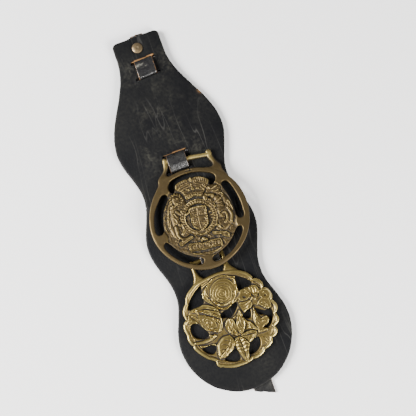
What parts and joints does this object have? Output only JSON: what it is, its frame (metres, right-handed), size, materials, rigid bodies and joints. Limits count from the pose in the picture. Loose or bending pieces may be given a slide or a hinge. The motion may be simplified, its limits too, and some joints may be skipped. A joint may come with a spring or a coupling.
{
  "type": "horse brasses on a leather hanging strap",
  "caption": "Lobed black leather drop lying flat, threaded strap through slits, holding a heraldic crest brass above a pierced flower brass.",
  "frame": {"origin": "on the surface that the drop lies on, on its centre line, halfway along the leather backing", "axes": "+Y along the drop to its narrow riveted top end, +X to the right as the front is seen, +Z out of the front"},
  "size_m": [0.0918, 0.3176, 0.015],
  "materials": {
    "backing_leather": "matt black bridle leather, scuffed grey round the loops",
    "strap_leather": "glossy black grained leather with tan cut edges",
    "rivet_brass": "dull pale brass",
    "tarnished_brass": "antique brass, satin on the rim and dark in the relief",
    "polished_brass": "polished yellow brass, brown in the recesses"
  },
  "bodies": {
    "root": {"leather_backing": "backing_leather", "threaded_strap": "strap_leather", "rivet": "rivet_brass", "crest_brass": "tarnished_brass", "flower_brass": "polished_brass"}
  },
  "joints": []
}
